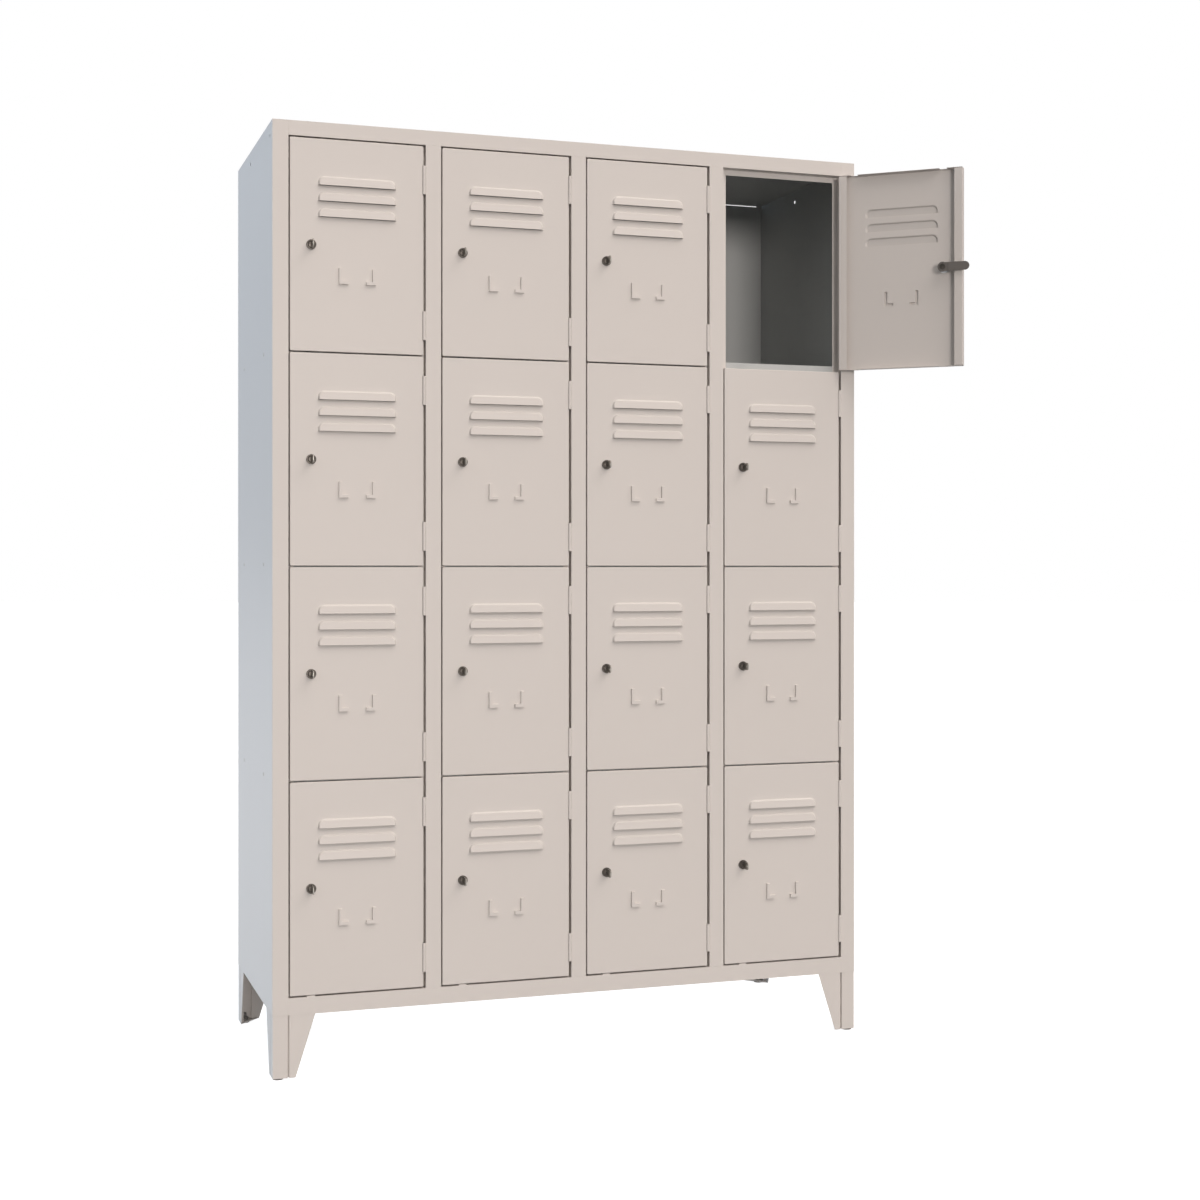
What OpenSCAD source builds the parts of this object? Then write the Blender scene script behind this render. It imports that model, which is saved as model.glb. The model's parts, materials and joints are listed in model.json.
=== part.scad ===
// Sheet-steel locker cabinet: four columns of four compartments on four corner legs.
// Frame: X across the front, Y from the front (-) to the back (+), Z up from the floor.
// The origin is on the floor under the middle of the cabinet.

/* [Cabinet] */
// Overall width
width = 1200; // [1000:10:1500]
// Overall depth, without the hinges and lock heads
depth = 480; // [380:10:600]
// Overall height, with the legs
height = 1794; // [1500:1:2200]
// Thickness of the folded sheet
sheet = 0.8; // [0.6:0.1:1.2]

/* [Front frame] */
// Width of the two outer stiles
stile_w = 30; // [24:1:45]
// Width of the mullions between the columns
mullion_w = 30; // [26:1:45]
// Height of the top rail
top_rail_h = 28; // [20:1:50]
// Height of the bottom rail
bottom_rail_h = 32; // [24:1:60]
// How far the door stop flanges lie behind the front
stop_depth = 16.5; // [16:0.5:20]
// Width of the door stop flanges
stop_w = 12; // [8:1:14]

/* [Doors] */
// Gap above, below and between the doors
door_gap = 2.8; // [2:0.1:4]
// Gap at the lock edge of a door
lock_gap = 2.5; // [2:0.1:4]
// Gap at the hinge edge of a door
hinge_gap = 5; // [4.5:0.1:6]
// Depth of the folded door pan
pan_depth = 15; // [12.5:0.5:15.5]
// Width of the flanges folded in behind the door
pan_flange_w = 17; // [12:1:22]
// Width of the cuts in the pan's top and bottom edges
edge_notch_w = 15; // [8:1:20]
// Depth of those cuts
edge_notch_d = 11; // [4:0.5:12]
// Height of the rest under the free corner of a bottom door
rest_h = 2.1; // [1:0.1:2.4]

/* [Louvres] */
// Number of louvres on a door
louvre_count = 3; // [1:1:5]
// Length of a louvre
louvre_l = 150; // [100:1:170]
// Height of a louvre
louvre_h = 17.5; // [12:0.5:20]
// How far a louvre stands proud
louvre_proud = 5.5; // [3:0.5:7]
// How far a louvre's top edge stands proud
louvre_top = 3; // [1.5:0.5:5]
// Distance from one louvre to the next
louvre_pitch = 29.7; // [24:0.1:34]
// Lower edge of the first louvre below the top of the door
louvre_drop = 87.5; // [50:0.5:100]
// Radius of a louvre's upper corners
louvre_corner_r = 13; // [5:1:14]

/* [Card holder] */
// Overall width of the pair of card brackets
card_w = 71; // [60:1:90]
// Height of a card bracket
card_h = 31; // [24:1:40]
// Length of a bracket's foot
card_foot_l = 19; // [12:1:24]
// Width of a bracket's strips
card_strip_w = 7; // [5:0.5:9]
// How far a bracket stands proud
card_proud = 4; // [1.5:0.1:5]
// Top of the brackets below the top of the door
card_drop = 241; // [180:1:260]

/* [Hinges] */
// Length of a hinge
hinge_l = 55; // [40:1:70]
// Radius of the hinge barrel
barrel_r = 3.25; // [2.5:0.05:3.25]
// Radius of the hinge pin
pin_r = 1.5; // [1:0.1:1.8]
// Running clearance between the pin and the door's knuckle
pin_clearance = 0.05; // [0.02:0.01:0.1]
// Distance of the pin behind the front of the cabinet
pin_depth = 1; // [0.5:0.1:1.2]
// Distance of the pin from the frame's edge
pin_offset = 3.3; // [3.3:0.05:3.5]
// Top hinge below the top of the door
hinge_drop = 37; // [25:1:60]
// Bottom hinge above the bottom of the door
hinge_rise = 29; // [25:1:60]
// Depth of a hinge leaf behind the pin
leaf_depth = 11; // [8:0.5:12]
// Thickness of a hinge leaf
leaf_t = 1; // [0.8:0.1:1.2]

/* [Cam lock] */
// Distance of the lock from the door's lock edge
lock_inset = 40; // [32:1:60]
// Radius of the lock's head
head_r = 9.25; // [8.5:0.25:11]
// How far the lock's head stands proud
head_proud = 3.5; // [2:0.5:5]
// Radius of the threaded barrel
lock_r = 8; // [7.5:0.1:8.3]
// Radius of the plug that turns in the barrel
plug_r = 5.5; // [4:0.1:6]
// Running clearance round the plug
plug_clearance = 0.05; // [0.02:0.01:0.1]
// Length of the cam from the lock's axis
cam_l = 54; // [50:0.5:56]
// Width of the cam
cam_w = 17.5; // [12:0.5:18]
// Thickness of the cam
cam_t = 2; // [1.5:0.1:3]
// Radius of the cam's hub
hub_r = 10; // [9:0.5:11]
// How far the key's bow stands out from the door
key_proud = 28; // [22:1:34]
// Height of the key's bow
key_h = 15; // [12:1:24]
// Thickness of the key
key_t = 2; // [1.5:0.1:2.5]

/* [Shelves] */
// Height of the lip along the front of a shelf
shelf_lip_h = 24; // [20:1:30]
// Depth of the flanges folded down round a shelf
shelf_flange_h = 15; // [10:1:20]

/* [Legs] */
// Height of the legs, with their glides
leg_h = 120; // [100:1:160]
// Width of a leg's wings at the top
leg_top_w = 80; // [60:1:100]
// Width of a leg's wings at the bottom
leg_foot_w = 43; // [42:1:50]
// Thickness of the leg's steel
leg_t = 1.5; // [1.2:0.1:2.5]
// How far the legs are set in from the cabinet's faces
leg_inset = 0.5; // [0:0.5:4]
// Distance of the channel down each wing from the corner
channel_x = 28; // [24:0.5:29]
// Width of that channel
channel_w = 3; // [2:0.5:4]
// Depth of that channel
channel_d = 5; // [1:0.5:6]
// Height of the glide below the leg
glide_h = 3; // [2:0.5:12]
// Radius of the glide's pad
glide_r = 10; // [8:0.5:12]
// Radius of the floor anchor holes
anchor_r = 2.75; // [2.25:0.25:3.5]

/* [Side walls] */
// Width of the fold down the back edge, which the back panel lies against
back_fold_w = 12; // [8:1:20]
// Gap between the back panel and the roof
back_gap = 1.4; // [0.5:0.1:3]
// Radius of the joining holes
join_r = 3.5; // [2.5:0.5:5]
// First joining hole behind the front
join_front = 31; // [28:1:60]
// Second joining hole behind the front
join_back = 292; // [200:1:320]
// Joining holes below the top
join_drop = 25; // [20:1:40]
// Rivets behind the front
rivet_front = 111; // [60:1:140]
// Rivets in front of the back
rivet_back = 93; // [60:1:120]

/* [Hidden] */
$fn = 48;
columns = 4;
rows = 4;
eps = 0.01;
cut = 1;                                  // how far a cutting shape runs past the face it cuts

front = -depth / 2;
back = depth / 2;
side = width / 2;
open_w = (width - 2 * stile_w - (columns - 1) * mullion_w) / columns;
open_z0 = leg_h + bottom_rail_h;          // underside of the lowest opening
open_z1 = height - top_rail_h;            // top of the highest opening
door_h = (open_z1 - open_z0 - (rows + 1) * door_gap) / rows;
door_w = open_w - lock_gap - hinge_gap;
stop_y = front + stop_depth;              // front face of the stop flanges
stop_back = stop_y + sheet;
inner_back = back - 2 * sheet;            // front face of the back panel

// Left and right edge of a column's opening, counted from 1.
function open_x0(c) = -side + stile_w + (c - 1) * (open_w + mullion_w);
function open_x1(c) = open_x0(c) + open_w;
// Faces of the walls on the two sides of a column.
function wall_x0(c) = c == 1 ? -side + sheet : open_x0(c) - mullion_w / 2 + sheet / 2;
function wall_x1(c) = c == columns ? side - sheet : open_x1(c) + mullion_w / 2 - sheet / 2;
// Bottom edge of a row's doors, counted from 1 at the top.
function door_z(r) = open_z0 + door_gap + (rows - r) * (door_h + door_gap);
// Top of the shelf under a row, whose lip covers the gap between two doors.
function shelf_z(r) = door_z(r) + (shelf_lip_h - door_gap) / 2;

pin_x = door_w + hinge_gap - pin_offset;  // from the door's lock edge
lock_z = door_h / 2;                      // from the door's bottom edge
head_chamfer = 1;
lock_back = stop_depth + sheet + 0.2;     // back end of the lock's barrel, from the door's face
cam_y = lock_back + 0.6;                  // front face of the cam
crank = 0.6;                              // how far the cam's arm is set behind its hub
lock_nut_r = 10.5;                        // over the corners
lock_nut_t = 4;
cam_screw_r = 4;
cam_screw_t = 2;
key_neck = 5;                             // length of the key between the lock's head and its bow
key_neck_h = 7;
key_eye_r = 2;
key_eye_rim = 2;
swing = 140;                              // how far a door opens
open_row = 1;                             // the door that stands open, with its bolt thrown
open_column = 4;
knuckle_gap = 0.25;
knuckle_l = (hinge_l - 2 * knuckle_gap) / 3;

knuckle_room_w = 0.35;                    // air round a knuckle
rest_y0 = 0.3;                            // front and back of a rest, behind the front
rest_y1 = 9;
louvre_rim = 2.5;                         // height of the steep rim at a louvre's top

floor_z = open_z0 + stop_w;               // top of the lowest compartments' floor
pan_fold_w = 75;                          // width of the folds that rest on the legs
flange_setback = 8;                       // of a shelf's side flanges from its front and back
rivet_r = 2;
rivet_head_r = 3.5;
rivet_head_h = 0.8;

leg_plate_t = 3;
leg_plate_w = 70;
glide_x = glide_r + leg_t;                // from the leg's corner, both ways
glide_air = 1;                            // between the pad and the leg
anchor_x = leg_foot_w - 16;
anchor_y = channel_d + leg_t + anchor_r + 0.25;
stem_r = 4;
stem_end = 8;                             // stem above the nut
nut_r = 7.5;
nut_t = 5;

COLUMNS = [1:columns];
ROWS = [1:rows];
DOORS = [for (r = ROWS) for (c = COLUMNS) [r, c]];
function tag(r, c) = str("_r", r, "c", c);
function stands_open(r, c) = r == open_row && c == open_column;

// A box between two corners.
module block(low, high) {
    translate(low) cube(high - low);
}

// A cylinder along Y from y0 to y1.
module rod_y(r, y0, y1) {
    translate([0, y0, 0]) rotate([-90, 0, 0]) cylinder(r = r, h = y1 - y0);
}

// A cylinder along X from x0 to x1.
module rod_x(r, x0, x1) {
    translate([x0, 0, 0]) rotate([0, 90, 0]) cylinder(r = r, h = x1 - x0);
}

// ---- Walls -------------------------------------------------------------------------

// One side of an upright: the return behind the front face from z0 to z1, and the stop flange
// that runs up the opening. It is drawn for an opening edge at x = 0, with the opening towards +X.
module upright_edge(z0, z1) {
    block([-sheet, front, z0], [0, stop_back, z1]);
    block([-sheet, stop_y, open_z0], [stop_w, stop_back, open_z1]);
}

module side_wall() {
    difference() {
        union() {
            block([-side, front, leg_h], [-side + sheet, back, height - sheet]);
            block([-side, front, leg_h], [-side + stile_w, front + sheet, height - sheet]);
            translate([open_x0(1), 0, 0]) upright_edge(leg_h, height - sheet);
            block([-side, back - sheet, leg_h], [-side + back_fold_w, back, height - sheet]);
        }
        for (y = [front + join_front, front + join_back])
            translate([0, y, height - join_drop]) rod_x(join_r, -side - cut, -side + sheet + cut);
        rivet_places() rod_x(rivet_r, -side - cut, -side + sheet + cut);
    }
}

module left_side() {
    color("lightsteelblue") side_wall();
}

module right_side() {
    color("lightsteelblue") mirror([1, 0, 0]) side_wall();
}

module partitions() {
    color("gray") for (c = [1:columns - 1]) {
        middle = open_x1(c) + mullion_w / 2;
        block([middle - sheet / 2, front, open_z0], [middle + sheet / 2, stop_back, open_z1]);
        block([middle - sheet / 2, stop_back - eps, floor_z],
              [middle + sheet / 2, inner_back, height - sheet]);
        block([open_x1(c), front, open_z0], [open_x0(c + 1), front + sheet, open_z1]);
        translate([open_x0(c + 1), 0, 0]) upright_edge(open_z0, open_z1);
        translate([open_x1(c), 0, 0]) mirror([1, 0, 0]) upright_edge(open_z0, open_z1);
    }
}

module back_panel() {
    color("gray")
        block([-side + sheet, inner_back, leg_h + sheet],
              [side - sheet, back - sheet, height - sheet - back_gap]);
}

// The stop flanges of a rail, one between the uprights of each column.
module rail_stops(z0, z1) {
    for (c = COLUMNS)
        block([open_x0(c) + stop_w, stop_y, z0], [open_x1(c) - stop_w, stop_back, z1]);
}

module roof() {
    rail = side - stile_w;
    color("gainsboro") {
        block([-side, front, height - sheet], [side, back, height]);
        block([-rail, front, open_z1], [rail, front + sheet, height]);
        block([-rail, front, open_z1], [rail, stop_back, open_z1 + sheet]);
        rail_stops(open_z1 - stop_w, open_z1 + sheet);
    }
}

// ---- Floor and shelves -------------------------------------------------------------

// The small rest on the bottom rail that takes the free corner of a sagging door.
module door_rest(x) {
    block([x - edge_notch_w / 2, front + rest_y0, open_z0 - eps],
          [x + edge_notch_w / 2, front + rest_y1, open_z0 + rest_h]);
}

module floor_pan() {
    rail = side - stile_w;
    wall = side - sheet;
    color("gainsboro") {
        block([-rail, front, leg_h], [rail, front + sheet, open_z0]);
        block([-rail, front, leg_h], [rail, front + pan_fold_w, leg_h + sheet]);
        block([-rail, front, open_z0 - sheet], [rail, stop_back, open_z0]);
        rail_stops(open_z0 - sheet, floor_z);
        block([-wall, stop_back - eps, floor_z - sheet], [wall, inner_back, floor_z]);
        block([-wall, inner_back - sheet, leg_h], [wall, inner_back, floor_z]);
        block([-wall, back - pan_fold_w, leg_h], [wall, inner_back, leg_h + sheet]);
        for (c = COLUMNS) door_rest(open_x0(c) + lock_gap + lock_inset);
    }
}

module shelf(r, c) {
    top = shelf_z(r);
    x0 = wall_x0(c);
    x1 = wall_x1(c);
    shelf_back = inner_back - sheet;
    block([x0, stop_back - eps, top - sheet], [x1, shelf_back, top]);
    block([open_x0(c) + stop_w, stop_y, top - shelf_lip_h], [open_x1(c) - stop_w, stop_back, top]);
    for (x = [x0, x1 - sheet])
        block([x, stop_back + flange_setback, top - shelf_flange_h],
              [x + sheet, shelf_back - flange_setback, top - sheet + eps]);
}

module shelves() {
    color("gray") difference() {
        for (c = COLUMNS, r = [1:rows - 1]) shelf(r, c);
        rivet_places() rod_x(rivet_r, -side - cut, -side + 2 * sheet + cut);
        mirror([1, 0, 0]) rivet_places() rod_x(rivet_r, -side - cut, -side + 2 * sheet + cut);
    }
}

// The rivets that hold the shelves to the left wall, front and back at each shelf.
module rivet_places() {
    for (r = [1:rows - 1], y = [front + rivet_front, back - rivet_back])
        translate([0, y, shelf_z(r) - (shelf_flange_h + sheet) / 2]) children();
}

module rivets() {
    color("lightgray") for (s = [0, 1]) mirror([s, 0, 0]) rivet_places() {
        rod_x(rivet_r, -side - eps, -side + 2 * sheet);
        rod_x(rivet_head_r, -side - rivet_head_h, -side);
    }
}

// ---- Legs --------------------------------------------------------------------------

// Puts a piece that is drawn for a corner at the origin under each corner of the cabinet.
module each_corner() {
    for (sx = [0, 1], sy = [0, 1])
        mirror([sx, 0, 0]) mirror([0, sy, 0])
            translate([-side + leg_inset, front + leg_inset, 0]) children();
}

// One wing, along X from the corner, with the back of its channel.
module leg_wing() {
    translate([0, leg_t, 0]) rotate([90, 0, 0]) linear_extrude(leg_t)
        polygon([[0, glide_h], [leg_foot_w, glide_h], [leg_top_w, leg_h], [0, leg_h]]);
    block([channel_x - leg_t, 0, glide_h],
          [channel_x + channel_w + leg_t, channel_d + leg_t, leg_h]);
}

module channel() {
    block([channel_x, -cut, 0], [channel_x + channel_w, channel_d, leg_h + cut]);
}

module legs() {
    color("darkgray") each_corner() difference() {
        union() {
            leg_wing();
            mirror([1, -1, 0]) leg_wing();
            block([0, 0, leg_h - leg_plate_t], [leg_plate_w, leg_plate_w, leg_h]);
            translate([0, 0, glide_h]) linear_extrude(leg_plate_t)
                polygon([[0, 0], [leg_foot_w, 0], [0, leg_foot_w]]);
        }
        translate([glide_x, glide_x, 0]) cylinder(r = stem_r, h = glide_h + leg_plate_t + cut);
        translate([anchor_x, anchor_y, 0]) cylinder(r = anchor_r, h = glide_h + leg_plate_t + cut);
        channel();
        mirror([1, -1, 0]) channel();
    }
}

module glides() {
    nut_z = glide_h + leg_plate_t;
    color("dimgray") each_corner() translate([glide_x, glide_x, 0]) {
        cylinder(r = glide_r, h = glide_h - glide_air);
        cylinder(r = stem_r, h = nut_z + nut_t + stem_end);
        translate([0, 0, nut_z]) cylinder(r = nut_r, h = nut_t, $fn = 6);
    }
}

// ---- Doors -------------------------------------------------------------------------

// Puts a piece that is drawn on a closed door at the origin where that door is at rest.
// Such a piece has X along the door from its lock edge, Y inwards from its face, and Z up
// from its bottom edge.
module on_door(r, c) {
    translate([open_x0(c) + lock_gap, front, door_z(r)])
        translate([pin_x, pin_depth, 0])
            rotate([0, 0, stands_open(r, c) ? swing : 0])
                translate([-pin_x, -pin_depth, 0]) children();
}

// The folded pan: the face, four edges and the two flanges behind it.
module pan() {
    block([0, 0, 0], [door_w, sheet, door_h]);
    for (x = [0, door_w - sheet]) block([x, 0, 0], [x + sheet, pan_depth, door_h]);
    for (z = [0, door_h - sheet]) block([0, 0, z], [door_w, pan_depth, z + sheet]);
    block([0, pan_depth - sheet, 0], [pan_flange_w, pan_depth, door_h]);
    block([door_w - pan_flange_w, pan_depth - sheet, edge_notch_w], [door_w, pan_depth, door_h]);
}

// The outline of a louvre, seen from the front, set in by d at its ends and top.
module louvre_outline(d) {
    r = louvre_corner_r - d;
    l = louvre_l / 2 - d;
    h = louvre_h - d;
    translate([-l, -cut]) square([2 * l, h - r + cut]);
    translate([-l + r, -cut]) square([2 * (l - r), h + cut]);
    for (s = [-1, 1]) translate([s * (l - r), h - r]) circle(r = r);
}

// The section through a louvre, Y inwards and Z up: a steep rim at the top, and a face that
// leans out to the lip at the lower edge.
module louvre_section(d, inner) {
    polygon([[inner, 0], [0, 0], [0, -d], [d - louvre_proud, -d],
             [d - louvre_top, louvre_h - louvre_rim], [d, louvre_h], [inner, louvre_h]]);
}

// A louvre's hood, or with d = sheet the hollow under it.
module louvre_solid(d, inner) {
    intersection() {
        translate([0, sheet + cut, 0]) rotate([90, 0, 0])
            linear_extrude(louvre_proud + sheet + 2 * cut) louvre_outline(d);
        rotate([90, 0, 90]) translate([0, 0, -louvre_l]) linear_extrude(2 * louvre_l)
            louvre_section(d, inner);
    }
}

module louvre_places() {
    for (i = [0:louvre_count - 1])
        translate([door_w / 2, 0, door_h - louvre_drop - i * louvre_pitch]) children();
}

// A card bracket with its corner at the origin, set in by d along its two outer edges.
module bracket(d, y0, y1) {
    block([d, y0, d], [card_strip_w + min(d, eps), y1, card_h + min(d, eps)]);
    block([d, y0, d], [card_foot_l + min(d, eps), y1, card_strip_w + min(d, eps)]);
}

module card_places() {
    for (s = [0, 1])
        translate([door_w / 2, 0, door_h - card_drop - card_h]) mirror([s, 0, 0])
            translate([-card_w / 2, 0, 0]) children();
}

module hinge_places() {
    for (z = [hinge_rise, door_h - hinge_drop - hinge_l]) translate([0, 0, z]) children();
}

// The strip in front of a leaf, where the knuckles from z0 to z1 turn.
module knuckle_room(z0, z1) {
    room = barrel_r + knuckle_room_w;
    block([pin_x - room, -barrel_r - cut, z0 - knuckle_gap],
          [pin_x + room, pin_depth + room, z1 + knuckle_gap]);
}

module knuckle(z0, bore) {
    translate([pin_x, pin_depth, z0]) difference() {
        cylinder(r = barrel_r, h = knuckle_l);
        translate([0, 0, -cut]) cylinder(r = bore, h = knuckle_l + 2 * cut);
    }
}

knuckle_z = [for (i = [0:2]) i * (knuckle_l + knuckle_gap)];

// The door's half of a hinge: a leaf on the pan's edge, and the middle knuckle.
module door_hinge() {
    difference() {
        block([door_w - eps, pin_depth, 0], [door_w + leaf_t, pin_depth + leaf_depth, hinge_l]);
        for (i = [0, 2]) knuckle_room(knuckle_z[i], knuckle_z[i] + knuckle_l);
        translate([pin_x, pin_depth, -cut])
            cylinder(r = pin_r + pin_clearance, h = hinge_l + 2 * cut);
    }
    knuckle(knuckle_z[1], pin_r + pin_clearance);
}

module door() {
    difference() {
        union() {
            pan();
            louvre_places() louvre_solid(0, sheet);
            card_places() bracket(0, -card_proud, sheet);
        }
        louvre_places() louvre_solid(sheet, sheet + cut);
        card_places() bracket(sheet, sheet - card_proud, sheet + cut);
        translate([lock_inset, 0, lock_z]) rod_y(lock_r, -cut, sheet + cut);
        for (x = [lock_inset, door_w - pan_flange_w - edge_notch_w],
             z = [-cut, door_h - sheet - cut])
            block([x - edge_notch_w / 2, pan_depth - edge_notch_d, z],
                  [x + edge_notch_w / 2, pan_depth + cut, z + sheet + 2 * cut]);
        hinge_places() knuckle_room(0, hinge_l);
    }
    hinge_places() door_hinge();
}

module hinge_leaves() {
    frame_x = door_w + hinge_gap;
    color("lightgray") each_hinge() {
        difference() {
            block([frame_x - leaf_t, pin_depth, 0], [frame_x, pin_depth + leaf_depth, hinge_l]);
            knuckle_room(knuckle_z[1], knuckle_z[1] + knuckle_l);
            translate([pin_x, pin_depth, -cut]) cylinder(r = pin_r, h = hinge_l + 2 * cut);
        }
        for (i = [0, 2]) knuckle(knuckle_z[i], pin_r);
    }
}

module hinge_pins() {
    color("silver") each_hinge() translate([pin_x, pin_depth, 0])
        cylinder(r = pin_r, h = hinge_l);
}

// Every hinge's place on the frame, whether its door stands open or not.
module each_hinge() {
    for (d = DOORS) translate([open_x0(d[1]) + lock_gap, front, door_z(d[0])])
        hinge_places() children();
}

// ---- Cam locks ---------------------------------------------------------------------

module at_lock() {
    translate([lock_inset, 0, lock_z]) children();
}

// The head, the barrel through the door's face, and the nut behind it.
module lock_barrel() {
    bore = plug_r + plug_clearance;
    rotate([90, 0, 0]) rotate_extrude()
        polygon([[bore, -lock_back], [lock_r, -lock_back], [lock_r, 0], [head_r, 0],
                 [head_r, head_proud - head_chamfer], [head_r - head_chamfer, head_proud],
                 [bore + head_chamfer, head_proud], [bore, head_proud - head_chamfer]]);
    difference() {
        rotate([-90, 0, 0]) translate([0, 0, sheet])
            cylinder(r = lock_nut_r, h = lock_nut_t, $fn = 6);
        rod_y(lock_r - eps, 0, sheet + lock_nut_t + cut);
    }
}

// The plug with its cam, which hangs down, and the key in it.
module lock_cam() {
    rod_y(plug_r, head_chamfer - head_proud, cam_y);
    rod_y(hub_r, cam_y - eps, cam_y + cam_t);
    rod_y(cam_screw_r, cam_y, cam_y + cam_t + crank + cam_screw_t);
    arm = cam_l - cam_w / 2;
    translate([0, 0, -arm]) rod_y(cam_w / 2, cam_y + crank, cam_y + crank + cam_t);
    block([-cam_w / 2, cam_y + crank, -arm], [cam_w / 2, cam_y + crank + cam_t, -cam_w / 4]);
    key();
}

// The outline of the key outside the lock, along -Y from the door's face and up Z.
module key_outline() {
    r = key_h / 3;
    bow = head_proud + key_neck;
    translate([head_proud - 2 * head_chamfer, -key_neck_h / 2])
        square([key_neck + r + 2 * head_chamfer, key_neck_h]);
    for (y = [bow + r, key_proud - r], z = [-1, 1])
        translate([y, z * (key_h / 2 - r)]) circle(r = r);
    translate([bow, r - key_h / 2]) square([key_proud - bow, key_h - 2 * r]);
    translate([bow + r, -key_h / 2]) square([key_proud - bow - 2 * r, key_h]);
}

module key() {
    difference() {
        rotate([90, 0, -90]) translate([0, 0, -key_t / 2]) linear_extrude(key_t) key_outline();
        translate([-key_t, -key_proud + key_eye_r + key_eye_rim, 0])
            rod_x(key_eye_r, 0, 2 * key_t);
    }
}

// ---- Nodes -------------------------------------------------------------------------

left_side();
right_side();
partitions();
back_panel();
roof();
floor_pan();
shelves();
legs();
glides();
hinge_leaves();
hinge_pins();
rivets();
for (d = DOORS) {
    on_door(d[0], d[1]) color("antiquewhite") door();
    on_door(d[0], d[1]) at_lock() color("darkslategray") lock_barrel();
    on_door(d[0], d[1]) at_lock() rotate([0, stands_open(d[0], d[1]) ? 90 : 0, 0])
            color("dimgray") lock_cam();
}
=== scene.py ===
# %% [markdown]
# # A locker cabinet in sheet steel
# The cabinet is folded from thin steel sheet and painted with powder. What makes it look real
# is small: the rounded bends, the pressed louvres, the dark gaps round each door, and a cam lock
# with its key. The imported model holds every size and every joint, so this lesson only builds
# the skins round it, measured from the frame.

# %% Load the frame and keep its box
import json
import math

import bmesh
import bpy
import numpy as np
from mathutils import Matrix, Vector


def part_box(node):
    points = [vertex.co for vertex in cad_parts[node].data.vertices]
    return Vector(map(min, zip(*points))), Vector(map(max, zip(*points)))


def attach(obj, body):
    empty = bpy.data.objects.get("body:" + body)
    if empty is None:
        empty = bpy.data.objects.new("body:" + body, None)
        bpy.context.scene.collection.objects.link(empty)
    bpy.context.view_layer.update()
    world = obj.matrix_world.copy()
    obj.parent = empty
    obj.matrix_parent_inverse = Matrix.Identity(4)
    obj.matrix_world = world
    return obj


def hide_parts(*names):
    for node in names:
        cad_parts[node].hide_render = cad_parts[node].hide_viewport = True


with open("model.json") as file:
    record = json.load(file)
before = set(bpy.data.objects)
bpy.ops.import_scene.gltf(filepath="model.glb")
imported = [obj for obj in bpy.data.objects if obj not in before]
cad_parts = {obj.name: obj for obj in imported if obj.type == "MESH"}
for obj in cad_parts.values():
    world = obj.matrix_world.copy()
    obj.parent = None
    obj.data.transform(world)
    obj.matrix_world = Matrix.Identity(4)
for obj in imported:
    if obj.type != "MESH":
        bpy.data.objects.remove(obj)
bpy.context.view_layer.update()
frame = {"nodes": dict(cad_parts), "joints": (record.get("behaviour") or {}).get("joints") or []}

# %% [markdown]
# ## Sizes
# Everything is placed from the frame's own boxes and joints, so a changed cabinet still gets
# skins that fit. Lengths below are in metres, and `MM` turns a drawing's millimetres into them.

# %% Read the sizes off the frame
MM = 0.001
roof_low, roof_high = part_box("roof")
back_low, back_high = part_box("back_panel")
FRONT, TOP = roof_low.y, roof_high.z
SIDE = roof_high.x
SHEET = back_high.y - back_low.y
joints = {j["name"]: j for j in frame["joints"]}
doors = sorted(n[5:] for n in frame["nodes"] if n.startswith("door_"))
door_low, door_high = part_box("door_r4c1")
DOOR_H = door_high.z - door_low.z
PIN_X = joints["door_r4c1_hinge"]["pos_m"][0] - door_low.x
PIN_Y = joints["door_r4c1_hinge"]["pos_m"][1] - FRONT
LOCK_X = joints["lock_r4c1_turn"]["pos_m"][0] - door_low.x
LOCK_Z = DOOR_H / 2
HINGE_GAP = 5 * MM
PIN_TO_FRAME = 3.3 * MM
DOOR_W = PIN_X + PIN_TO_FRAME - HINGE_GAP
STOP_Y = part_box("shelves")[0].y
print("door", round(DOOR_W / MM, 2), "x", round(DOOR_H / MM, 2), "mm")

# %% [markdown]
# ## The camera and the light
# The cabinet stands on a white floor in an even studio. The view is level, and the small
# shift keeps the uprights parallel while the cabinet sits a little high in the picture.
# Three far lights do the work: a wide warm one high on the right, a narrower one straight
# ahead that reaches into the open compartment, and a cool one from the left and behind that
# makes the side wall bluer than the front. Far lights were chosen over lamps because they
# light a big flat front evenly.

# %% Camera
camera = bpy.data.objects.new("camera", bpy.data.cameras.new("camera"))
bpy.context.scene.collection.objects.link(camera)
camera.location = (-SIDE - 0.5147, FRONT - 3.4379, 0.9575)
camera.rotation_euler = (math.radians(90), 0, math.radians(-18.63))
camera.data.lens = 55.10
camera.data.sensor_width = 36
camera.data.shift_y = -0.0272
camera.data.clip_end = 50
bpy.context.scene.camera = camera
print("camera", [round(v, 3) for v in camera.location], "lens", camera.data.lens, "mm")


# %% Lights and world
def linear(hex_colour):
    """An sRGB hex colour such as '#d2c8c0' as linear red, green, blue and an alpha of 1."""
    s = np.array([int(hex_colour[i : i + 2], 16) for i in (1, 3, 5)]) / 255
    return (*np.where(s <= 0.04045, s / 12.92, ((s + 0.055) / 1.055) ** 2.4), 1.0)


def sun(name, towards, strength, colour, softness):
    """A far light in the direction given, as wide in the sky as softness in degrees."""
    lamp = bpy.data.objects.new(name, bpy.data.lights.new(name, "SUN"))
    bpy.context.scene.collection.objects.link(lamp)
    lamp.data.energy, lamp.data.color = strength, linear(colour)[:3]
    lamp.data.angle = math.radians(softness)
    lamp.rotation_euler = Vector(towards).to_track_quat("Z", "Y").to_euler()


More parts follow.
